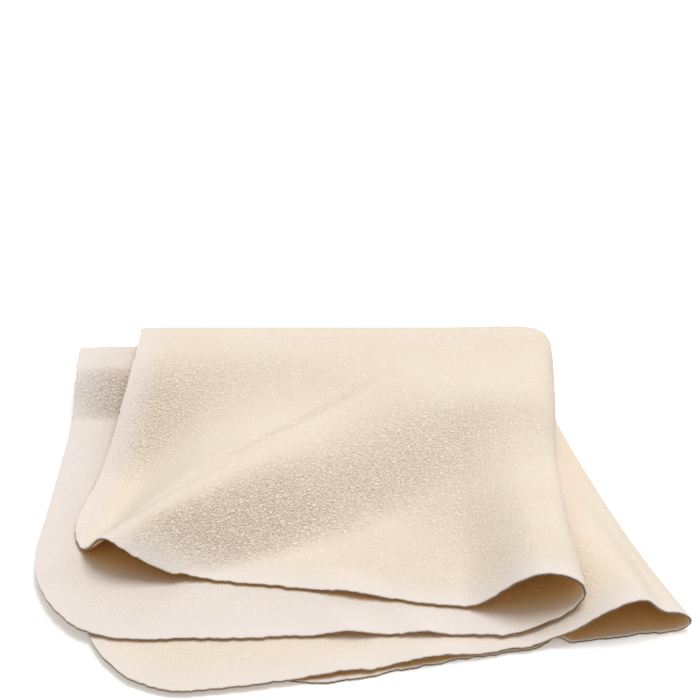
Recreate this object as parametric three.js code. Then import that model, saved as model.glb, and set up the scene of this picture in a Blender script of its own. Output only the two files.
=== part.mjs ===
import * as THREE from "three";

// Chamois skin folded in four. Units are mm, +Z is up, +Y points to the back folds.
// The skin is divided at its bends. Layers count from the top: 1, 2, 3, 4.

// The skin
const LEATHER = 1.0; // thickness
const AIR = 0.8; // loose gap between two quarters
const SPLIT = 0.4; // gap where the skin is divided at a bend
const CORNER_R = 35; // rounded cut corners
const PITCH = LEATHER + AIR;

// Heights of the relief, above the flat pile
const INNER_HUMP = 8.9; // middle quarters rise to the inner back fold
const OUTER_HUMP = 14; // top quarter rises to the outer back fold
const LOW_HUMP = 1.2; // third quarter rises a little to the inner back fold
const RIDGE = 13; // diagonal ridge of the top quarter, with an open arch at its front end
const LOOP = 5; // top quarter above the upper right fold, at the back
const LOOP_FRONT = 9.8; // extra height of that loop at the front
const LIFT = 4; // second quarter above the fold below it
const TUNNEL = 11.5; // third quarter beside the lower right fold
const LIP = 5.8; // third quarter at the lower right fold itself

// Reach of the bends: length of the tangent handles on both sides
const UPPER_RIGHT_REACH = [12.8, 15.4];
const UPPER_FRONT_REACH = [15.5, 27.2]; // the upper loop opens towards the front
const UPPER_FRONT_TURN = new THREE.Vector3(0, 9.9, 0.8); // and its lower side turns back there
const FRONT_REACH_SPAN = [0.42, 1]; // along that fold
const LOWER_RIGHT_REACH = [8, 8];
const OUTER_BACK_REACH = [20, 20];
const INNER_BACK_REACH = [13, 13];

// Plan outlines, each edge as a cubic curve. Left and right run from back to front.
const UPPER_BACK = 52;
const LOWER_BACK = 48;
const VERTEX_X = 58;
const FOLD_END = [91.5, -67];
const LOWER_FOLD = [[VERTEX_X, LOWER_BACK], [66.5, 10], [76.5, -28], FOLD_END];
const QUARTERS = {
  1: {
    left: [[-71, UPPER_BACK], [-72.3, 17.8], [-82.2, -16.3], [-90.4, -55]],
    right: [[59, UPPER_BACK], [60, 14], [49.5, -25], [56.5, -64.9]],
    front: [[-90.4, -55], [-40, -42.3], [2, -62], [56.5, -64.9]],
    size: [140, 108],
  },
  2: {
    left: [[-92, UPPER_BACK], [-91, 12], [-93, -20], [-97, -73.4]],
    right: [[54, UPPER_BACK], [53, 12], [45.5, -25], [43.2, -72.4]],
    front: [[-97, -73.4], [-50, -75.5], [19.2, -69.7], [43.2, -72.4]],
    size: [146, 124],
  },
  3: {
    left: [[-91, LOWER_BACK], [-86, 1], [-78.5, -47], [-74, -93]],
    right: LOWER_FOLD,
    front: [[-74, -93], [-34, -95.2], [36, -76], FOLD_END],
    size: [154, 132],
  },
  4: {
    left: [[-69, LOWER_BACK], [-58, 2], [-46, -44], [-35, -94.5]],
    right: LOWER_FOLD,
    front: [[-35, -94.5], [7.3, -84.6], [41.5, -74], FOLD_END],
    size: [132, 130],
  },
};

// Places of the relief. A span is where a rise starts and where it is complete.
const RIDGE_START = [-73.9, -49.3];
const RIDGE_END = [47.5, 52];
const RIDGE_FRONT_WIDTH = [17.8, 40]; // at the arch, and further along the ridge
const RIDGE_BACK_WIDTH = [13.5, 62];
const RIDGE_SPAN = [0, 90]; // along the ridge, from its start
const ARCH_SPAN = [0, 40];
const ARCH_SHARE = 0.88; // part of the ridge's height left at the arch
const FADE_SPAN = [60, 130];
const FADE_SHARE = 0.4; // part of the ridge's height left at its back end
const OUTER_HUMP_FRONT = [-10, -45]; // where the outer hump starts, at the left and at the right
const OUTER_HUMP_ACROSS = [-30, 50];
const OUTER_HUMP_BACK = 45; // the humps rise with y
const INNER_HUMP_SPAN = [26, 46];
const LOW_HUMP_SPAN = [15, 46];
const LOOP_SPAN = [32, 55]; // the loop rises with x, and more to the front
const LOOP_FRONT_SPAN = [5, -65];
const LIFT_RIGHT_SPAN = [-20, 50];
const LIFT_FRONT_SPAN = [-66, -20];
const LIFT_BACK_SPAN = [44, 10];
const TUNNEL_INSET = 10; // from the lower right fold to the crest
const TUNNEL_WIDTH = [29, 10]; // inner and outer flank
const TUNNEL_BACK = 0.6; // height left at the back end of the tunnel
const TUNNEL_ENDS = [25, 8]; // from the back end and from the front end of the fold
const TUNNEL_FADE_SPAN = [40, 15]; // second quarter lies on the tunnel up to here
const TUNNEL_SHARE = 0.9; // and takes up this share of its height
const LOOP_SHARE = 0.1; // part of the loop left on the back hump
const CORNER_COLUMNS = 0.3; // part of a quarter's columns spent on its round corner

const { lerp, smoothstep, clamp } = THREE.MathUtils;
const ramp = ([from, to], x) =>
  from < to ? smoothstep(x, from, to) : 1 - smoothstep(x, to, from);
const bell = (d) => Math.cos((clamp(Math.abs(d), 0, 1) * Math.PI) / 2) ** 2;

// A straight crest line in plan: run along it, and distance to its right-hand side.
function crest([x0, y0], [x1, y1]) {
  const along = new THREE.Vector2(x1 - x0, y1 - y0).normalize();
  return (x, y) => ({
    run: (x - x0) * along.x + (y - y0) * along.y,
    side: (x - x0) * along.y - (y - y0) * along.x,
  });
}
const ridgeLine = crest(RIDGE_START, RIDGE_END);
const foldLine = crest(FOLD_END, [VERTEX_X, LOWER_BACK]);
const FOLD_LENGTH = Math.hypot(FOLD_END[0] - VERTEX_X, FOLD_END[1] - LOWER_BACK);

// Rise of the third quarter along the lower right fold
function tunnel(x, y) {
  const { run, side } = foldLine(x, y);
  const grown = ramp([FOLD_LENGTH - TUNNEL_ENDS[0], TUNNEL_ENDS[1]], run);
  const d = side + TUNNEL_INSET;
  const crown = bell(d / TUNNEL_WIDTH[d > 0 ? 1 : 0]);
  return (TUNNEL_BACK + TUNNEL * grown) * crown + LIP * grown * ramp([-TUNNEL_INSET, 0], side);
}

// Rise of the two upper quarters over the lower pile
const lifted = (x, y) =>
  LIFT * ramp(LIFT_RIGHT_SPAN, x) * ramp(LIFT_FRONT_SPAN, y) * ramp(LIFT_BACK_SPAN, y);

// Height of the middle of the leather, for each quarter
const RELIEF = {
  4: () => LEATHER / 2,
  3: (x, y) => LEATHER / 2 + PITCH + LOW_HUMP * ramp(LOW_HUMP_SPAN, y) + tunnel(x, y),
  2: (x, y) => {
    const hump = INNER_HUMP * ramp(INNER_HUMP_SPAN, y);
    const followed = TUNNEL_SHARE * tunnel(x, y) * ramp(TUNNEL_FADE_SPAN, y);
    return LEATHER / 2 + 2 * PITCH + hump + followed + lifted(x, y);
  },
  1: (x, y) => {
    const { run, side } = ridgeLine(x, y);
    const [narrow, wide] = side > 0 ? RIDGE_FRONT_WIDTH : RIDGE_BACK_WIDTH;
    const humpFront = lerp(...OUTER_HUMP_FRONT, ramp(OUTER_HUMP_ACROSS, x));
    const hump = ramp([humpFront, OUTER_HUMP_BACK], y);
    const crown = bell(side / lerp(narrow, wide, ramp(RIDGE_SPAN, run)));
    const faded = lerp(ARCH_SHARE, 1, ramp(ARCH_SPAN, run)) * lerp(1, FADE_SHARE, ramp(FADE_SPAN, run));
    const ridge = RIDGE * faded * crown * (1 - hump);
    const loop = (LOOP + LOOP_FRONT * ramp(LOOP_FRONT_SPAN, y)) * ramp(LOOP_SPAN, x);
    const flat = LEATHER / 2 + 3 * PITCH + lifted(x, y);
    return flat + OUTER_HUMP * hump + ridge + loop * lerp(1, LOOP_SHARE, hump);
  },
};

// Middle surface of a quarter: u from the cut left edge to the right fold, v from back to front
function quarterSurface(layer) {
  const curve = (points) =>
    new THREE.CubicBezierCurve(...points.map(([x, y]) => new THREE.Vector2(x, y)));
  const { left, right, front } = QUARTERS[layer];
  const edge = { left: curve(left), right: curve(right), front: curve(front) };
  const back = new THREE.LineCurve(edge.left.v0, edge.right.v0);
  return (u, v) => {
    const across = edge.left.getPoint(v).lerp(edge.right.getPoint(v), u);
    const down = back.getPoint(u).lerp(edge.front.getPoint(u), v);
    const top = edge.left.v0.clone().lerp(edge.right.v0, u);
    const bottom = edge.left.v3.clone().lerp(edge.right.v3, u);
    const plan = across.add(down).sub(top.lerp(bottom, v));
    return new THREE.Vector3(plan.x, plan.y, RELIEF[layer](plan.x, plan.y));
  };
}
const surface = Object.fromEntries([1, 2, 3, 4].map((layer) => [layer, quarterSurface(layer)]));

// A bend leaves both quarters along their own slope, so it is one smooth curve.
function bend(startPoint, startInside, endPoint, endInside, [startReach, endReach]) {
  const handle = (point, inside, reach) =>
    point.clone().add(point.clone().sub(inside).setLength(reach));
  return new THREE.CubicBezierCurve3(
    startPoint,
    handle(startPoint, startInside, startReach),
    handle(endPoint, endInside, endReach),
    endPoint,
  );
}
const STEP = 0.01; // share of a quarter, to find its slope at an edge
function rightBend(start, end, reach, frontReach, frontTurn) {
  return (v) => {
    const front = ramp(FRONT_REACH_SPAN, v);
    const grown = reach.map((r, i) => lerp(r, frontReach[i], front));
    const [a, b] = [surface[start], surface[end]];
    const curve = bend(a(1, v), a(1 - STEP, v), b(1, v), b(1 - STEP, v), grown);
    curve.v2.addScaledVector(frontTurn, front);
    return curve;
  };
}
function backBend(start, end, reach) {
  const [a, b] = [surface[start], surface[end]];
  return (u) => bend(a(u, 0), a(u, STEP), b(u, 0), b(u, STEP), reach);
}
const upperRight = rightBend(1, 2, UPPER_RIGHT_REACH, UPPER_FRONT_REACH, UPPER_FRONT_TURN);
const lowerRight = rightBend(4, 3, LOWER_RIGHT_REACH, LOWER_RIGHT_REACH, new THREE.Vector3());
const outerBack = backBend(1, 4, OUTER_BACK_REACH);
const innerBack = backBend(2, 3, INNER_BACK_REACH);

// The centre of the skin, between the ends of the four bends
function cornerSurface(a, b) {
  const [outer, inner] = [outerBack(1), innerBack(1)];
  const [upper, lower] = [upperRight(0), lowerRight(0)];
  const across = outer.getPoint(b).lerp(inner.getPoint(b), a);
  const down = upper.getPoint(a).lerp(lower.getPoint(a), b);
  const top = upper.v0.clone().lerp(upper.v3, a);
  const bottom = lower.v0.clone().lerp(lower.v3, a);
  return across.add(down).sub(top.lerp(bottom, b));
}

// A thick sheet: a slab whose two faces follow the middle surface
function sheet(point, across, along, columns = (s) => s, limit = () => 1) {
  const slab = new THREE.BoxGeometry(1, 1, 1, across, along, 1);
  const position = slab.attributes.position;
  const at = new THREE.Vector3();
  const h = 1e-3;
  for (let i = 0; i < position.count; i++) {
    at.fromBufferAttribute(position, i);
    const s = columns(at.x + 0.5);
    const t = (at.y + 0.5) * limit(s);
    const ds = point(Math.min(s + h, 1), t).sub(point(Math.max(s - h, 0), t));
    const dt = point(s, Math.min(t + h, 1)).sub(point(s, Math.max(t - h, 0)));
    const normal = ds.cross(dt).normalize();
    const moved = point(s, t).addScaledVector(normal, at.z * LEATHER);
    position.setXYZ(i, moved.x, moved.y, moved.z);
  }
  return slab;
}
const inside = (margin, s) => lerp(margin, 1 - margin, s);

// A quarter stops short of both bends and has one rounded cut corner.
function quarterSheet(layer, across, along) {
  const { size } = QUARTERS[layer];
  const [gapU, gapV] = size.map((length) => SPLIT / 2 / length);
  const [roundU, roundV] = size.map((length) => CORNER_R / length);
  const point = (u, v) => surface[layer](u * (1 - gapU), lerp(gapV, 1, v));
  const columns = (s) =>
    s < CORNER_COLUMNS
      ? roundU * (1 - Math.cos((s / CORNER_COLUMNS) * (Math.PI / 2)))
      : lerp(roundU, 1, (s - CORNER_COLUMNS) / (1 - CORNER_COLUMNS));
  const limit = (u) => {
    const q = clamp((roundU - u) / roundU, 0, 1);
    return 1 - roundV * (1 - Math.sqrt(1 - q * q));
  };
  return sheet(point, across, along, columns, limit);
}

// A bend stops short of the two quarters and of the corner.
function bendSheet(curveAt, toSkin, length, reach, round, along) {
  const gap = SPLIT / 2 / (3 * Math.min(...reach));
  const end = SPLIT / 2 / length;
  const point = (a, s) => curveAt(toSkin(s, end)).getPoint(inside(gap, a));
  return sheet(point, round, along);
}

const LEATHER_CREAM = new THREE.MeshStandardMaterial({ color: 0xf0e4d2, roughness: 0.95 });
LEATHER_CREAM.name = "leather";
const skin = new THREE.Group();
skin.name = "chamois_leather";
function add(name, geometry) {
  const mesh = new THREE.Mesh(geometry, LEATHER_CREAM);
  mesh.name = name;
  skin.add(mesh);
}

const towardsFront = (s, end) => lerp(end, 1, s);
const towardsBack = (s, end) => lerp(1, end, s);
const fromLeft = (s, end) => lerp(0, 1 - end, s);
const fromRight = (s, end) => lerp(1 - end, 0, s);
const FOLD_DEPTH = UPPER_BACK - FOLD_END[1];
const FOLD_WIDTH = VERTEX_X - QUARTERS[3].left[0][0];

add("top_quarter", quarterSheet(1, 24, 16));
add("upper_inner_quarter", quarterSheet(2, 22, 14));
add("lower_inner_quarter", quarterSheet(3, 24, 15));
add("bottom_quarter", quarterSheet(4, 16, 8));
add("upper_right_fold", bendSheet(upperRight, towardsFront, FOLD_DEPTH, UPPER_RIGHT_REACH, 10, 16));
add("lower_right_fold", bendSheet(lowerRight, towardsBack, FOLD_DEPTH, LOWER_RIGHT_REACH, 8, 14));
add("outer_back_fold", bendSheet(outerBack, fromRight, FOLD_WIDTH, OUTER_BACK_REACH, 10, 16));
add("inner_back_fold", bendSheet(innerBack, fromLeft, FOLD_WIDTH, INNER_BACK_REACH, 8, 12));
const cornerGap = SPLIT / 2 / (3 * Math.min(...LOWER_RIGHT_REACH));
add("corner_fold", sheet((a, b) => cornerSurface(inside(cornerGap, a), inside(cornerGap, b)), 8, 8));

export default skin;
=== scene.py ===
import math

import bmesh
import bpy
import numpy as np
from bpy.props import FloatProperty, FloatVectorProperty, PointerProperty
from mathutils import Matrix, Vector, noise


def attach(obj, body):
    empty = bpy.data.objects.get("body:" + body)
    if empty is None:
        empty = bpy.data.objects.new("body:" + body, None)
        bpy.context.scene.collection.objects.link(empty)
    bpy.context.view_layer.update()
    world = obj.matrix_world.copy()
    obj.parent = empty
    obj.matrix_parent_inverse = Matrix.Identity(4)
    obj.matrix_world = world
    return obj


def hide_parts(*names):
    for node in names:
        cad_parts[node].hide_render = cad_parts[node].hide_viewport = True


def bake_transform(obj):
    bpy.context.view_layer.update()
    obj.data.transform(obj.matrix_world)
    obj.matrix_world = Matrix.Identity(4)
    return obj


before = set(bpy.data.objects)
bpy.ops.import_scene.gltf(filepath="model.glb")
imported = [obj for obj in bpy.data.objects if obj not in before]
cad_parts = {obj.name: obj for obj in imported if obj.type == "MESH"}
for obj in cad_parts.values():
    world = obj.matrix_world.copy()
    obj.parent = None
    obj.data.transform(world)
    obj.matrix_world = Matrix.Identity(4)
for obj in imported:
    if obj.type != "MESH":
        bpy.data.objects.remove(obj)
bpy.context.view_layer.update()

bl_info = {
    "name": "Folded Chamois",
    "version": (1, 0, 0),
    "blender": (4, 5, 0),
    "location": "3D View > Sidebar > Chamois",
    "description": "A chamois skin folded in four, on a pale studio floor",
    "category": "Add Mesh",
}


def mm(values):
    """Millimetres as metres."""
    return np.array(values, float) * 0.001


# Plan of the four quarters, counted from the top. Each edge is a cubic curve, and the left and
# right edges run from the back fold to the front.
UPPER_BACK = 52
LOWER_BACK = 48
VERTEX_X = 58
FOLD_END = [91.5, -67]
CORNER_RADIUS = mm(35)
LOWER_RIGHT_EDGE = mm([[VERTEX_X, LOWER_BACK], [66.5, 10], [76.5, -28], FOLD_END])
QUARTERS = {
    1: {
        "left": mm([[-71, UPPER_BACK], [-72.3, 17.8], [-82.2, -16.3], [-90.4, -55]]),
        "right": mm([[59, UPPER_BACK], [60, 14], [49.5, -25], [56.5, -64.9]]),
        "front": mm([[-90.4, -55], [-40, -42.3], [2, -62], [56.5, -64.9]]),
        "size": mm([140, 108]),
    },
    2: {
        "left": mm([[-92, UPPER_BACK], [-91, 12], [-93, -20], [-97, -73.4]]),
        "right": mm([[54, UPPER_BACK], [53, 12], [45.5, -25], [43.2, -72.4]]),
        "front": mm([[-97, -73.4], [-50, -75.5], [19.2, -69.7], [43.2, -72.4]]),
        "size": mm([146, 124]),
    },
    3: {
        "left": mm([[-91, LOWER_BACK], [-86, 1], [-78.5, -47], [-74, -93]]),
        "right": LOWER_RIGHT_EDGE,
        "front": mm([[-74, -93], [-34, -95.2], [36, -76], FOLD_END]),
        "size": mm([154, 132]),
    },
    4: {
        "left": mm([[-69, LOWER_BACK], [-58, 2], [-46, -44], [-35, -94.5]]),
        "right": LOWER_RIGHT_EDGE,
        "front": mm([[-35, -94.5], [7.3, -84.6], [41.5, -74], FOLD_END]),
        "size": mm([132, 130]),
    },
}

# Places of the relief. A span is where a rise starts and where it is complete.
RIDGE_START = mm([-73.9, -49.3])
RIDGE_END = mm([47.5, 52])
RIDGE_FRONT_WIDTH = mm([17.8, 40])
RIDGE_BACK_WIDTH = mm([13.5, 62])
RIDGE_SPAN = mm([0, 90])
ARCH_SPAN = mm([0, 40])
ARCH_SHARE = 0.88
FADE_SPAN = mm([60, 130])
FADE_SHARE = 0.4
CREASE_PLACE = mm(-6)
CREASE_WIDTH = mm(4)
OUTER_HUMP_FRONT = mm([-10, -45])
OUTER_HUMP_ACROSS = mm([-30, 50])
OUTER_HUMP_BACK = mm(45)
INNER_HUMP_SPAN = mm([26, 46])
LOW_HUMP_SPAN = mm([15, 46])
LOOP_SPAN = mm([32, 55])
LOOP_FRONT_SPAN = mm([5, -65])
LIFT_RIGHT_SPAN = mm([-20, 50])
LIFT_FRONT_SPAN = mm([-66, -20])
LIFT_BACK_SPAN = mm([44, 10])
TUNNEL_INSET = mm(10)
TUNNEL_WIDTH = mm([29, 10])
TUNNEL_BACK = mm(0.6)
TUNNEL_ENDS = mm([25, 8])
TUNNEL_FADE_SPAN = mm([40, 15])
TUNNEL_SHARE = 0.9
LOOP_SHARE = 0.1

# The cut edges sink onto the quarter below, apart from small lifts of the front edges: middle x,
# half width and height
LIFT_DEPTH = mm(10)
EDGE_LIFTS = {
    1: mm([[-53, 16, 1.4], [1, 14, 1.2]]),
    2: mm([[0, 11, 1.6], [21, 9, 1.2]]),
    3: mm([[-2, 16, 0.8], [22, 16, 1.5], [58, 10, 0.9]]),
    4: mm([[58.5, 5.5, 3]]),
}

# Reach of the bends: length of the tangent handles on both sides
UPPER_RIGHT_REACH = mm([12.8, 15.4])
UPPER_FRONT_REACH = mm([15.5, 27.2])
UPPER_FRONT_TURN = mm([0, 9.9, 0.8])
FRONT_REACH_SPAN = (0.42, 1.0)
LOWER_RIGHT_REACH = mm([8, 8])
LOWER_FRONT_TURN = mm([0, 0, 0])
OUTER_BACK_REACH = mm([20, 20])
INNER_BACK_REACH = mm([13, 13])
STEP = 0.01

# Rows and columns of the skin: flat lengths over which they are spaced, and their pitch
OUTER_WIDTH = 0.140
INNER_WIDTH = 0.150
UPPER_DEPTH = 0.116
LOWER_DEPTH = 0.131
PITCH = mm(1.0)
EDGE_PITCH = mm(0.2)
PITCH_GROWTH = 1.16
RIGHT_BEND_CELLS = 30
BACK_BEND_CELLS = 40

# Cut edges: thickness of the outermost lines, number of uneven lines, and the scale and share of
# each noise that makes them uneven
EDGE_TAPER = (0.85, 0.93, 0.98, 1)
FRAY_LINES = 6
FRAY_NOISES = ((150, 1), (500, 0.8), (1400, 0.6))

# Pale fibres next to the cut edges, partly a painted highlight, as they are painted only on the
# side
# that faces up: their share line by line from the edge, and the part of the wrinkles that they hide
FIBRES_AND_HIGHLIGHT = (
    0.8, 0.78, 0.76, 0.74, 0.72, 0.69, 0.66, 0.62, 0.58,
    0.53, 0.47, 0.4, 0.33, 0.26, 0.2, 0.14, 0.09, 0.04,
)
RIM_SMOOTHNESS = 0.7

# The grain is deeper, with more painted shade in its hollows, where the leather falls to the front,
# away from the light: share of the wrinkles on flat parts, and the slopes over which they grow
FLAT_WRINKLES = 0.36
WRINKLE_SPAN = (-0.15, 0.48)

# Nap of the leather, with painted shade in its folds and in the hollows of its grain. The wrinkles
# run across the skin, so they are stretched along x. A span is where a noise starts to show and
# where it shows in full.
NAP_ROUGHNESS = 0.9
NAP_SPECULAR = 0.2
NAP_SHEEN = 0.15
SHEEN_ROUGHNESS = 0.5
GRAIN_STRETCH = (0.8, 1, 1)
MOTTLING_SCALE = 60
MOTTLING_SPAN = (0.3, 0.7)
PIT_SHADE_SPAN = (0.12, 0)
PAD_SPAN = (0, 0.2)
SPECK_SPAN = (0.05, 0.02)
FOLD_SHADE_SAMPLES = 8
CREAM, PALE, CUT = range(3)

# Stage
FLOOR_HALF_SIZE = 1
FLOOR_DROP = 0.0002
FLOOR_GREY = (0.8, 0.8, 0.8, 1)
FLOOR_GLOW = 0.27
WHITE = (1, 1, 1, 1)
KEY_SIZE = 1.2
KEY_PLACE = (0.35, 0.4, 2.1)


def ramp(span, x):
    """Smooth rise from 0 to 1 between the two ends of a span."""
    t = np.clip((x - span[0]) / (span[1] - span[0]), 0, 1)
    return t * t * (3 - 2 * t)


def bell(d):
    """Smooth hump: 1 in the middle, 0 from a distance of 1 outwards."""
    return np.cos(np.clip(np.abs(d), 0, 1) * math.pi / 2) ** 2


def lerp(a, b, t):
    """Value at share t of the way from a to b."""
    return a + (b - a) * t


def crest(start, end, x, y):
    """Run along a straight crest line, and distance to its right-hand side."""
    along = (end - start) / np.linalg.norm(end - start)
    run = (x - start[0]) * along[0] + (y - start[1]) * along[1]
    side = (x - start[0]) * along[1] - (y - start[1]) * along[0]
    return run, side


def cubic(points, t):
    """Points of a cubic curve at t."""
    t = np.asarray(t)[..., None]
    p0, p1, p2, p3 = points
    s = 1 - t
    return s**3 * p0 + 3 * s * s * t * p1 + 3 * s * t * t * p2 + t**3 * p3


def tunnel(fold, x, y):
    """Rise of the third quarter along the lower right fold."""
    back, front = LOWER_RIGHT_EDGE[0], LOWER_RIGHT_EDGE[3]
    run, side = crest(front, back, x, y)
    length = np.linalg.norm(back - front)
    grown = ramp((length - TUNNEL_ENDS[0], TUNNEL_ENDS[1]), run)
    d = side + TUNNEL_INSET
    crown = bell(d / np.where(d > 0, TUNNEL_WIDTH[1], TUNNEL_WIDTH[0]))
    lip = fold.lip * grown * ramp((-TUNNEL_INSET, 0), side)
    return (TUNNEL_BACK + fold.tunnel * grown) * crown + lip


def relief(fold, layer, x, y):
    """Height of the middle of the leather in one quarter."""
    base = fold.thickness / 2 + (4 - layer) * (fold.thickness + fold.air)
    if layer == 4:
        return np.full_like(x, base)
    if layer == 3:
        return base + fold.low_hump * ramp(LOW_HUMP_SPAN, y) + tunnel(fold, x, y)
    lifted = ramp(LIFT_RIGHT_SPAN, x) * ramp(LIFT_FRONT_SPAN, y) * ramp(LIFT_BACK_SPAN, y)
    base = base + fold.lift * lifted
    if layer == 2:
        followed = TUNNEL_SHARE * tunnel(fold, x, y) * ramp(TUNNEL_FADE_SPAN, y)
        return base + fold.inner_hump * ramp(INNER_HUMP_SPAN, y) + followed
    run, side = crest(RIDGE_START, RIDGE_END, x, y)
    widened = ramp(RIDGE_SPAN, run)
    front_width = lerp(*RIDGE_FRONT_WIDTH, widened)
    back_width = lerp(*RIDGE_BACK_WIDTH, widened)
    crown = bell(side / np.where(side > 0, front_width, back_width))
    arch = lerp(ARCH_SHARE, 1, ramp(ARCH_SPAN, run))
    faded = lerp(1, FADE_SHARE, ramp(FADE_SPAN, run))
    crease = fold.crease * bell((side - CREASE_PLACE) / CREASE_WIDTH)
    ridge = fold.ridge * arch * faded * crown - crease
    hump = ramp((lerp(*OUTER_HUMP_FRONT, ramp(OUTER_HUMP_ACROSS, x)), OUTER_HUMP_BACK), y)
    loop = (fold.loop + fold.loop_front * ramp(LOOP_FRONT_SPAN, y)) * ramp(LOOP_SPAN, x)
    return base + fold.outer_hump * hump + ridge * (1 - hump) + loop * lerp(1, LOOP_SHARE, hump)


def quarter(fold, layer, u, v):
    """Middle surface of a quarter.

    u runs from the cut left edge to the right fold, v from the back to the front.
    """
    edge = QUARTERS[layer]
    left, right, front = edge["left"], edge["right"], edge["front"]
    across = lerp(cubic(left, v), cubic(right, v), u[..., None])
    back = lerp(left[0], right[0], u[..., None])
    down = lerp(back, cubic(front, u), v[..., None])
    corners = lerp(back, lerp(left[3], right[3], u[..., None]), v[..., None])
    plan = across + down - corners
    x, y = plan[..., 0], plan[..., 1]
    at_left = ramp((LIFT_DEPTH / edge["size"][0], 0), u)
    at_front = ramp((1 - LIFT_DEPTH / edge["size"][1], 1), v)
    lifts = sum(height * bell((x - middle) / width) for middle, width, height in EDGE_LIFTS[layer])
    sunk = fold.sink * np.maximum(at_left, at_front) if layer < 4 else 0
    return np.stack([x, y, relief(fold, layer, x, y) + lifts * at_front - sunk], -1)


def rounded(layer, u, v):
    """v drawn back at the quarter's rounded cut corner."""
    round_u, round_v = CORNER_RADIUS / QUARTERS[layer]["size"]
    q = np.clip((round_u - u) / round_u, 0, 1)
    return v * (1 - round_v * (1 - np.sqrt(1 - q * q)))


def bend(start, start_inside, end, end_inside, reach):
    """Control points of a bend that leaves both quarters along their own slope."""

    def handle(point, inside, length):
        out = point - inside
        return point + out / np.linalg.norm(out, axis=-1, keepdims=True) * length

    return np.stack([
        start,
        handle(start, start_inside, reach[0]),
        handle(end, end_inside, reach[1]),
        end,
    ])


def right_bend(fold, start, end, reach, front_reach, front_turn, v):
    """Bend at the right of two quarters, which opens and turns towards the front."""
    one = np.ones_like(v)
    front = ramp(FRONT_REACH_SPAN, v)
    grown = [lerp(*pair, front)[:, None] for pair in zip(reach, front_reach)]
    points = [quarter(fold, k, u * one, v) for k in (start, end) for u in (1, 1 - STEP)]
    curve = bend(*points, grown)
    curve[2] += front[:, None] * front_turn
    return curve


def back_bend(fold, start, end, reach, u):
    """Bend at the back of two quarters."""
    one = np.ones_like(u)
    points = [quarter(fold, k, u, v * one) for k in (start, end) for v in (0, STEP)]
    return bend(*points, reach)


def spaced(length):
    """Shares of a length, close together at the cut edge and even further in."""
    steps = [EDGE_PITCH]
    while steps[-1] * PITCH_GROWTH < PITCH:
        steps.append(steps[-1] * PITCH_GROWTH)
    rest = length - sum(steps)
    even = round(rest / PITCH)
    places = np.concatenate([[0], np.cumsum(steps + [rest / even] * even)])
    return places / length


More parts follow.
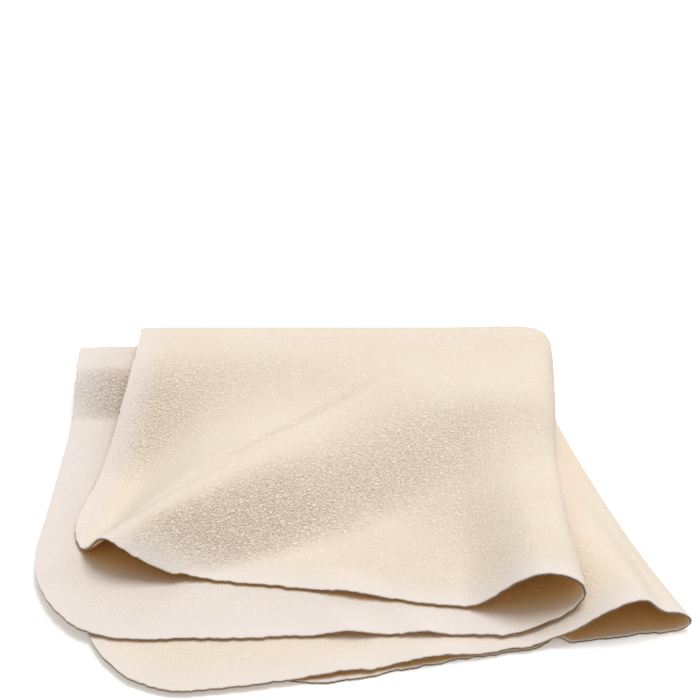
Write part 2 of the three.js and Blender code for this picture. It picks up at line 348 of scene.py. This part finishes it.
class Skin:
    """The whole skin as one grid of points, from cut edge to cut edge both ways.

    Columns run over quarters 1 and 4, the right bends, and quarters 2 and 3. Rows run from the
    front of the upper quarters over the back bends to the front of the lower ones.
    """

    def __init__(self, fold):
        first, second = spaced(OUTER_WIDTH), spaced(INNER_WIDTH)
        upper, lower = 1 - spaced(UPPER_DEPTH), 1 - spaced(LOWER_DEPTH)
        round_right = np.linspace(0, 1, RIGHT_BEND_CELLS + 1)[1:-1]
        round_back = np.linspace(0, 1, BACK_BEND_CELLS + 1)[1:-1]

        def panel(layer, u, v):
            u, v = np.meshgrid(u, v)
            return quarter(fold, layer, u, rounded(layer, u, v))

        def over_right(points):
            return cubic(points[:, :, None], round_right)

        def over_back(points):
            return cubic(points[:, None], round_back[:, None])

        upper_right = right_bend(
            fold, 1, 2, UPPER_RIGHT_REACH, UPPER_FRONT_REACH, UPPER_FRONT_TURN, upper
        )
        lower_right = right_bend(
            fold, 4, 3, LOWER_RIGHT_REACH, LOWER_RIGHT_REACH, LOWER_FRONT_TURN, lower
        )
        outer_back = back_bend(fold, 1, 4, OUTER_BACK_REACH, first)
        inner_back = back_bend(fold, 2, 3, INNER_BACK_REACH, second)

        outer, inner = over_back(outer_back), over_back(inner_back)
        top, bottom = over_right(upper_right)[-1], over_right(lower_right)[-1]
        a, b = round_right[None, :, None], round_back[:, None, None]
        across = lerp(outer[:, -1:], inner[:, -1:], a)
        down = lerp(top[None], bottom[None], b)
        ends = upper_right[0][-1], upper_right[3][-1], lower_right[0][-1], lower_right[3][-1]
        corners = lerp(lerp(ends[0], ends[1], a), lerp(ends[2], ends[3], a), b)
        corner = across + down - corners

        mirrored = second[::-1]
        self.points = np.concatenate([
            np.concatenate([
                panel(1, first, upper), over_right(upper_right), panel(2, mirrored, upper)
            ], 1),
            np.concatenate([outer, corner, inner[:, ::-1]], 1),
            np.concatenate([
                panel(4, first, lower[::-1]), over_right(lower_right)[::-1],
                panel(3, mirrored, lower[::-1]),
            ], 1),
        ])
        self.seams = len(upper) - 1, len(upper) + len(round_back)
        self.thickness = fold.thickness
        self.half = np.full(self.points.shape[:2], fold.thickness / 2)
        self.fray(fold)
        self.normals = self.upright()
        # Slopes that fall to the front, away from the light, get stronger wrinkles and more painted
        # shade
        fall = -self.normals[..., 1] * np.sign(self.normals[..., 2])
        self.wrinkles = lerp(FLAT_WRINKLES, 1, ramp(WRINKLE_SPAN, fall))
        # Pale fibres along the cut edges, with a painted highlight
        self.fibres_and_highlight = np.zeros_like(fall)
        for i, share in reversed(list(enumerate(FIBRES_AND_HIGHLIGHT))):
            self.fibres_and_highlight[[i, -1 - i]] = np.maximum(self.fibres_and_highlight[[i, -1 - i]], share)
            self.fibres_and_highlight[:, [i, -1 - i]] = np.maximum(self.fibres_and_highlight[:, [i, -1 - i]], share)
        self.wrinkles *= 1 - RIM_SMOOTHNESS * self.fibres_and_highlight

    def fray(self, fold):
        """Thins the cut edges and makes them uneven."""
        for i, taper in enumerate(EDGE_TAPER):
            for line in (i, -1 - i):
                self.half[line] = np.minimum(self.half[line], taper * fold.thickness / 2)
                self.half[:, line] = np.minimum(self.half[:, line], taper * fold.thickness / 2)
        turned = self.points.swapaxes(0, 1)
        for grid in (self.points, turned):
            for edge, inward in ((0, 1), (-1, -1)):
                out = grid[edge] - grid[edge + FRAY_LINES * inward]
                out /= np.linalg.norm(out, axis=-1, keepdims=True)
                rag = np.array([ragged(p, fold.fray) for p in grid[edge]])[:, None]
                for i in range(FRAY_LINES):
                    grid[edge + i * inward] += out * rag * (1 - i / FRAY_LINES)

    def upright(self):
        """Directions straight out of the cream side."""
        across = np.gradient(self.points, axis=1)
        along = np.gradient(self.points, axis=0)
        normal = np.cross(across, along)
        return normal / np.linalg.norm(normal, axis=-1, keepdims=True)


def ragged(point, depth):
    """Unevenness of a cut edge at one of its points."""
    place = Vector(point)
    return depth * sum(share * noise.noise(place * scale) for scale, share in FRAY_NOISES)


def skin_piece(name, skin, rows):
    """One piece of the skin, over a range of its rows, as a closed sheet."""
    part = slice(rows[0], rows[1] + 1)
    points = skin.points[part].reshape(-1, 3)
    offset = skin.normals[part].reshape(-1, 3) * skin.half[part].reshape(-1, 1)
    wrinkles = skin.wrinkles[part].reshape(-1)
    fibre_and_highlight_shares = skin.fibres_and_highlight[part].reshape(-1)
    # Pale fibres and painted highlight go only on the side that faces up; on the cut edge this
    # paints its top light above a painted shadow
    upward = skin.normals[part].reshape(-1, 3)[:, 2] > 0
    down, across = skin.points[part].shape[:2]

    bm = bmesh.new()
    number = bm.verts.layers.int.new("number")
    place = bm.verts.layers.float_vector.new("rest")
    wrinkle_and_shade = bm.verts.layers.float.new("wrinkle_and_shade")
    fibres_and_highlight = bm.verts.layers.float.new("fibres_and_highlight")
    bmesh.ops.create_grid(bm, x_segments=across - 1, y_segments=down - 1, size=0.5)
    for i, vert in enumerate(bm.verts):
        vert[number] = i
        vert[wrinkle_and_shade] = wrinkles[i]
        vert[fibres_and_highlight] = fibre_and_highlight_shares[i] * upward[i]
        vert.co = points[i] + offset[i]
        vert[place] = vert.co
    cream = set(bm.verts)
    bmesh.ops.solidify(bm, geom=bm.faces[:], thickness=skin.thickness)
    for vert in bm.verts:
        if vert not in cream:
            i = vert[number]
            vert.co = points[i] - offset[i]
            vert[place] = vert.co
            vert[fibres_and_highlight] = fibre_and_highlight_shares[i] * (1 - upward[i])
    for face in bm.faces:
        face.smooth = True
        on_cream = sum(vert in cream for vert in face.verts)
        face.material_index = {4: CREAM, 0: PALE}.get(on_cream, CUT)

    mesh = bpy.data.meshes.new(name)
    bm.to_mesh(mesh)
    numbers = [vert[number] for vert in bm.verts]
    sides = [1 if vert in cream else -1 for vert in bm.verts]
    bm.free()
    mesh.attributes.remove(mesh.attributes["number"])

    # Both pieces at a seam shade with the same normals there.
    seam_rows = [seam - rows[0] for seam in skin.seams if rows[0] <= seam <= rows[1]]
    normals = np.zeros((len(numbers), 3))
    straight = skin.normals[part].reshape(-1, 3)
    for k, (i, side) in enumerate(zip(numbers, sides)):
        if i // across in seam_rows:
            normals[k] = straight[i] * side
    mesh.normals_split_custom_set_from_vertices(normals)

    piece = bpy.data.objects.new(name, mesh)
    bpy.context.scene.collection.objects.link(piece)
    for material in (cream_suede(), pale_suede(), cut_edge()):
        mesh.materials.append(material)
    return piece


def suede(name, colour, shade, fold_shade_span, fibres_and_highlight_span, sheen):
    """Napped leather: fine wavy grain with painted shade in its hollows, soft mottling, a few dark
    pores, painted warm shade in the folds and pale fibres with a painted highlight near the cut
    edges.

    Of the two spans, the first is how open a place is where the painted shade of the folds ends,
    the second the share of pale fibres and painted highlight at which they show.
    """
    material = bpy.data.materials.get(name)
    if material:
        return material
    finish = bpy.context.scene.chamois_finish
    material = bpy.data.materials.new(name)
    material.use_nodes = True
    tree = material.node_tree
    nodes, links = tree.nodes, tree.links
    shader = nodes["Principled BSDF"]
    shader.inputs["Roughness"].default_value = NAP_ROUGHNESS
    shader.inputs["Specular IOR Level"].default_value = NAP_SPECULAR
    shader.inputs["Sheen Weight"].default_value = sheen
    shader.inputs["Sheen Roughness"].default_value = SHEEN_ROUGHNESS

    def stored(name, socket):
        """Value that the mesh keeps at each point."""
        attribute = nodes.new("ShaderNodeAttribute")
        attribute.attribute_name = name
        return attribute.outputs[socket]

    place = nodes.new("ShaderNodeMapping")
    place.inputs["Scale"].default_value = GRAIN_STRETCH
    links.new(stored("rest", "Vector"), place.inputs["Vector"])

    def grain(scale, detail, distortion):
        """Noise over the skin as it lies at rest."""
        texture = nodes.new("ShaderNodeTexNoise")
        texture.inputs["Scale"].default_value = scale
        texture.inputs["Detail"].default_value = detail
        texture.inputs["Distortion"].default_value = distortion
        links.new(place.outputs["Vector"], texture.inputs["Vector"])
        return texture.outputs["Fac"]

    def mixed(factor, first, second):
        """First colour at a factor of 0, second at 1."""
        mix = nodes.new("ShaderNodeMix")
        mix.data_type = "RGBA"
        links.new(factor, mix.inputs["Factor"])
        for socket, value in ((mix.inputs["A"], first), (mix.inputs["B"], second)):
            if hasattr(value, "links"):
                links.new(value, socket)
            else:
                socket.default_value = (*value, 1)
        return mix.outputs["Result"]

    def spread(value, low, high):
        """Share of the way from low to high."""
        span = nodes.new("ShaderNodeMapRange")
        span.inputs["From Min"].default_value = low
        span.inputs["From Max"].default_value = high
        links.new(value, span.inputs["Value"])
        return span.outputs["Result"]

    def specks():
        """Small dots, one in each cell."""
        cells = nodes.new("ShaderNodeTexVoronoi")
        cells.inputs["Scale"].default_value = 1 / finish.speck_pitch
        links.new(place.outputs["Vector"], cells.inputs["Vector"])
        return spread(cells.outputs["Distance"], *SPECK_SPAN)

    def product(first, second):
        """One value times the other."""
        times = nodes.new("ShaderNodeMath")
        times.operation = "MULTIPLY"
        links.new(first, times.inputs[0])
        links.new(second, times.inputs[1])
        return times.outputs["Value"]

    def apart(value):
        """Distance of a noise from its middle value: small along winding lines."""
        middle = nodes.new("ShaderNodeMath")
        middle.operation = "SUBTRACT"
        middle.inputs[1].default_value = 0.5
        links.new(value, middle.inputs[0])
        distance = nodes.new("ShaderNodeMath")
        distance.operation = "ABSOLUTE"
        links.new(middle.outputs["Value"], distance.inputs[0])
        return distance.outputs["Value"]

    mottling = grain(MOTTLING_SCALE, detail=3, distortion=0.5)
    mottled = mixed(spread(mottling, *MOTTLING_SPAN), colour, shade)
    wrinkle_and_shade = stored("wrinkle_and_shade", "Fac")
    pads = apart(grain(1 / finish.grain_size, detail=1, distortion=0.6))
    # Painted shade in the hollows of the grain, strongest on slopes that fall to the front
    pit_shaded = mixed(product(wrinkle_and_shade, spread(pads, *PIT_SHADE_SPAN)), mottled, finish.pit_shade)
    # Painted shade: a warm brown painted where ambient occlusion finds the place closed, in the
    # folds and between the layers
    closed = nodes.new("ShaderNodeAmbientOcclusion")
    closed.samples = FOLD_SHADE_SAMPLES
    closed.inputs["Distance"].default_value = finish.fold_shade_reach
    speckled = mixed(specks(), pit_shaded, finish.speck)
    # Pale fibres next to the cut edges, with a painted highlight
    with_fibres_and_highlight = mixed(spread(stored("fibres_and_highlight", "Fac"), *fibres_and_highlight_span), speckled, finish.fibres_and_highlight)
    painted_fold_shade = mixed(spread(closed.outputs["AO"], *fold_shade_span), finish.painted_fold_shade, with_fibres_and_highlight)
    links.new(painted_fold_shade, shader.inputs["Base Color"])

    bump = nodes.new("ShaderNodeBump")
    bump.inputs["Distance"].default_value = finish.grain_depth
    links.new(spread(pads, *PAD_SPAN), bump.inputs["Height"])
    links.new(wrinkle_and_shade, bump.inputs["Strength"])
    links.new(bump.outputs["Normal"], shader.inputs["Normal"])
    return material


def cream_suede():
    """Outer side of the skin."""
    finish = bpy.context.scene.chamois_finish
    return suede(
        "cream_suede", finish.cream, finish.cream_shade,
        # Painted warm shade in the folds, between these levels of openness
        fold_shade_span=(0.05, 0.3), fibres_and_highlight_span=(0, 1), sheen=NAP_SHEEN,
    )


def pale_suede():
    """Flesh side of the skin."""
    finish = bpy.context.scene.chamois_finish
    return suede(
        "pale_suede", finish.pale, finish.pale_shade,
        # Painted warm shade in the folds, between these levels of openness
        fold_shade_span=(0.3, 0.65), fibres_and_highlight_span=(0, 1), sheen=NAP_SHEEN,
    )


def cut_edge():
    """Darker leather inside the skin, with pale fibres; its dark lower part is painted shadow."""
    finish = bpy.context.scene.chamois_finish
    return suede(
        "cut_edge", finish.edge, finish.edge_shade,
        # Painted warm shade in the folds, between these levels of openness
        fold_shade_span=(0.05, 0.3), fibres_and_highlight_span=(0.4, 0.7), sheen=0,
    )


def length(name, text, default):
    """Property for a length."""
    return FloatProperty(
        name=name, description=text, default=default, min=0, unit="LENGTH", precision=5
    )


def colour(name, text, default):
    """Property for a colour."""
    return FloatVectorProperty(
        name=name, description=text, default=default, min=0, max=1, subtype="COLOR"
    )


class ChamoisFold(bpy.types.PropertyGroup):
    """Sizes of the folded skin"""

    thickness: length("Thickness", "Thickness of the leather", 0.001)
    air: length("Air", "Loose gap between two quarters", 0.0008)
    outer_hump: length("Outer hump", "Rise of the top quarter to the outer back fold", 0.014)
    inner_hump: length("Inner hump", "Rise of the second quarter to the inner back fold", 0.0089)
    low_hump: length("Low hump", "Rise of the third quarter to the inner back fold", 0.0012)
    ridge: length("Ridge", "Height of the diagonal ridge", 0.013)
    sink: length("Sink", "Depth to which the cut edges sink onto the quarter below", 0.0004)
    crease: length("Crease", "Depth of the thin crease behind the ridge", 0.0009)
    loop: length("Loop", "Rise of the top quarter to the upper right fold", 0.005)
    loop_front: length("Loop front", "Extra height of that fold at the front", 0.0098)
    lift: length("Lift", "Rise of the two upper quarters over the lower pile", 0.004)
    tunnel: length("Tunnel", "Height of the third quarter beside the lower right fold", 0.0115)
    lip: length("Lip", "Height of the third quarter at the lower right fold", 0.0058)
    fray: length("Fray", "Unevenness of the cut edges", 0.0005)


class ChamoisFinish(bpy.types.PropertyGroup):
    """Colours and grain of the skin"""

    cream: colour("Cream", "Outer side of the skin", (0.86, 0.765, 0.645))
    cream_shade: colour("Cream shade", "Darker mottling of the outer side", (0.84, 0.735, 0.605))
    pale: colour("Pale", "Flesh side of the skin", (0.835, 0.765, 0.71))
    pale_shade: colour("Pale shade", "Darker mottling of the flesh side", (0.805, 0.73, 0.665))
    # Cut edge: partly the darker raw leather, partly painted shadow, the dark line under each edge
    edge: colour("Edge", "Cut edge", (0.26, 0.18, 0.1))
    edge_shade: colour("Edge shade", "Darker fibres of the cut edge", (0.12, 0.08, 0.045))
    # Pale fibres next to the cut edge, partly a painted highlight on the side that faces up
    fibres_and_highlight: colour("Rim", "Pale fibres next to the cut edge", (0.81, 0.735, 0.69))
    speck: colour("Speck", "Dark pores", (0.55, 0.45, 0.36))
    speck_pitch: length("Speck pitch", "Distance between two dark pores", 0.006)
    # Painted shade: warm brown painted in the folds, where shade and light bounced between the
    # layers fall
    painted_fold_shade: colour("Deep", "Warm tone deep in the folds", (0.83, 0.53, 0.21))
    # Painted shade: how far the painted warm shade of the folds reaches into the open
    fold_shade_reach: length("Fold depth", "Reach of the warm tone into the open", 0.05)
    # Painted shade in the hollows of the grain, warm like the shade on the slopes
    pit_shade: colour("Pit", "Hollows of the grain", (0.785, 0.625, 0.485))
    grain_size: length("Grain size", "Width of the wavy wrinkles of the nap", 0.00085)
    grain_depth: length("Grain depth", "Depth of the wavy wrinkles of the nap", 0.00033)


class ChamoisStage(bpy.types.PropertyGroup):
    """Camera, light and floor"""

    lens: FloatProperty(
        name="Lens",
        description="Focal length on a 36 mm sensor",
        default=88.15,
        unit="CAMERA",
        subtype="DISTANCE_CAMERA",
    )
    camera: FloatVectorProperty(
        name="Camera",
        description="Place of the camera",
        default=(0, -0.423, 0.348),
        subtype="TRANSLATION",
        unit="LENGTH",
    )
    pitch: FloatProperty(
        name="Pitch",
        description="Camera looks down by this angle",
        default=math.radians(35),
        subtype="ANGLE",
    )
    key: FloatProperty(name="Key", description="Power of the key light", default=29.8, unit="POWER")
    fill: FloatProperty(name="Fill", description="Level of the light from overhead", default=0.62)
    horizon: FloatProperty(
        name="Horizon", description="Level of the light from the sides", default=0.3
    )


class CHAMOIS_OT_upper_half(bpy.types.Operator):
    """Top quarter, second quarter and the bend that joins them"""

    bl_idname = "chamois.upper_half"
    bl_label = "Upper half"

    def execute(self, context):
        skin = Skin(context.scene.chamois_fold)
        piece = skin_piece("upper_half_skin", skin, (0, skin.seams[0]))
        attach(piece, "upper_half")
        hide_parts("top_quarter", "upper_inner_quarter", "upper_right_fold")
        return {"FINISHED"}


class CHAMOIS_OT_lower_half(bpy.types.Operator):
    """Third quarter, bottom quarter and the bend that joins them"""

    bl_idname = "chamois.lower_half"
    bl_label = "Lower half"

    def execute(self, context):
        skin = Skin(context.scene.chamois_fold)
        piece = skin_piece("lower_half_skin", skin, (skin.seams[1], len(skin.points) - 1))
        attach(piece, "lower_half")
        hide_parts("bottom_quarter", "lower_inner_quarter", "lower_right_fold")
        return {"FINISHED"}


class CHAMOIS_OT_back_fold(bpy.types.Operator):
    """The outer and the inner back fold, and the corner between them"""

    bl_idname = "chamois.back_fold"
    bl_label = "Back fold"

    def execute(self, context):
        skin = Skin(context.scene.chamois_fold)
        piece = skin_piece("back_fold_skin", skin, skin.seams)
        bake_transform(piece)
        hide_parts("outer_back_fold", "inner_back_fold", "corner_fold")
        return {"FINISHED"}


class CHAMOIS_OT_stage(bpy.types.Operator):
    """Pale floor, soft light and the camera"""

    bl_idname = "chamois.stage"
    bl_label = "Stage"

    def execute(self, context):
        stage = context.scene.chamois_stage
        scene = context.scene
        scene.view_settings.view_transform = "Standard"

        camera = bpy.data.objects.new("camera", bpy.data.cameras.new("camera"))
        camera.data.lens = stage.lens
        camera.location = stage.camera
        camera.rotation_euler = (math.pi / 2 - stage.pitch, 0, 0)
        scene.collection.objects.link(camera)
        scene.camera = camera

        bm = bmesh.new()
        bmesh.ops.create_grid(bm, x_segments=1, y_segments=1, size=FLOOR_HALF_SIZE)
        for vert in bm.verts:
            vert.co.z = -FLOOR_DROP
        mesh = bpy.data.meshes.new("floor")
        bm.to_mesh(mesh)
        bm.free()
        floor = bpy.data.objects.new("floor", mesh)
        scene.collection.objects.link(floor)
        mesh.materials.append(floor_paint())

        lamp = bpy.data.lights.new("key", "AREA")
        lamp.shape = "DISK"
        lamp.size = KEY_SIZE
        lamp.energy = stage.key
        key = bpy.data.objects.new("key", lamp)
        key.location = KEY_PLACE
        key.rotation_euler = (-key.location).to_track_quat("-Z", "Y").to_euler()
        scene.collection.objects.link(key)
        soft_room(stage.horizon, stage.fill)
        return {"FINISHED"}


def floor_paint():
    """White for the eye, a little greyer for the light that it sends back."""
    material = bpy.data.materials.new("floor_paint")
    material.use_nodes = True
    nodes, links = material.node_tree.nodes, material.node_tree.links
    shader = nodes["Principled BSDF"]
    shader.inputs["Roughness"].default_value = 1.0
    shader.inputs["Specular IOR Level"].default_value = 0.0
    shader.inputs["Emission Color"].default_value = WHITE
    path = nodes.new("ShaderNodeLightPath")
    paint = nodes.new("ShaderNodeMix")
    paint.data_type = "RGBA"
    paint.inputs["A"].default_value = FLOOR_GREY
    paint.inputs["B"].default_value = WHITE
    links.new(path.outputs["Is Camera Ray"], paint.inputs["Factor"])
    links.new(paint.outputs["Result"], shader.inputs["Base Color"])
    glow = nodes.new("ShaderNodeMath")
    glow.operation = "MULTIPLY"
    glow.inputs[1].default_value = FLOOR_GLOW
    links.new(path.outputs["Is Camera Ray"], glow.inputs[0])
    links.new(glow.outputs["Value"], shader.inputs["Emission Strength"])
    return material


def soft_room(low, high):
    """Soft light that grows from the horizon to overhead, white where the camera sees it."""
    world = bpy.data.worlds.new("soft_room")
    world.use_nodes = True
    bpy.context.scene.world = world
    nodes, links = world.node_tree.nodes, world.node_tree.links
    sky = nodes.new("ShaderNodeTexCoord")
    height = nodes.new("ShaderNodeSeparateXYZ")
    links.new(sky.outputs["Generated"], height.inputs["Vector"])
    level = nodes.new("ShaderNodeMapRange")
    level.interpolation_type = "SMOOTHSTEP"
    level.inputs["To Min"].default_value = low
    level.inputs["To Max"].default_value = high
    links.new(height.outputs["Z"], level.inputs["Value"])
    path = nodes.new("ShaderNodeLightPath")
    seen = nodes.new("ShaderNodeMix")
    seen.inputs["B"].default_value = 1.0
    links.new(path.outputs["Is Camera Ray"], seen.inputs["Factor"])
    links.new(level.outputs["Result"], seen.inputs["A"])
    background = nodes["Background"]
    background.inputs["Color"].default_value = WHITE
    links.new(seen.outputs["Result"], background.inputs["Strength"])


class CHAMOIS_PT_sidebar(bpy.types.Panel):
    """Sizes, finish and pieces of the folded chamois"""

    bl_idname = "CHAMOIS_PT_sidebar"
    bl_label = "Folded chamois"
    bl_space_type = "VIEW_3D"
    bl_region_type = "UI"
    bl_category = "Chamois"

    def draw(self, context):
        for setting in SETTINGS:
            group = getattr(context.scene, setting)
            box = self.layout.box()
            for name in group.__annotations__:
                box.prop(group, name)
        for operator in PIECES:
            self.layout.operator(operator.bl_idname)


SETTINGS = {
    "chamois_fold": ChamoisFold,
    "chamois_finish": ChamoisFinish,
    "chamois_stage": ChamoisStage,
}
PIECES = (CHAMOIS_OT_stage, CHAMOIS_OT_lower_half, CHAMOIS_OT_upper_half, CHAMOIS_OT_back_fold)


def register():
    """Adds the settings, the operators and the panel."""
    for name, group in SETTINGS.items():
        bpy.utils.register_class(group)
        setattr(bpy.types.Scene, name, PointerProperty(type=group))
    for operator in PIECES:
        bpy.utils.register_class(operator)
    bpy.utils.register_class(CHAMOIS_PT_sidebar)


def unregister():
    """Takes away what register adds."""
    bpy.utils.unregister_class(CHAMOIS_PT_sidebar)
    for operator in reversed(PIECES):
        bpy.utils.unregister_class(operator)
    for name, group in SETTINGS.items():
        delattr(bpy.types.Scene, name)
        bpy.utils.unregister_class(group)


def main():
    """Builds the stage and the skin."""
    register()
    bpy.ops.chamois.stage()
    bpy.ops.chamois.lower_half()
    bpy.ops.chamois.upper_half()
    bpy.ops.chamois.back_fold()


if __name__ == "__main__":
    main()
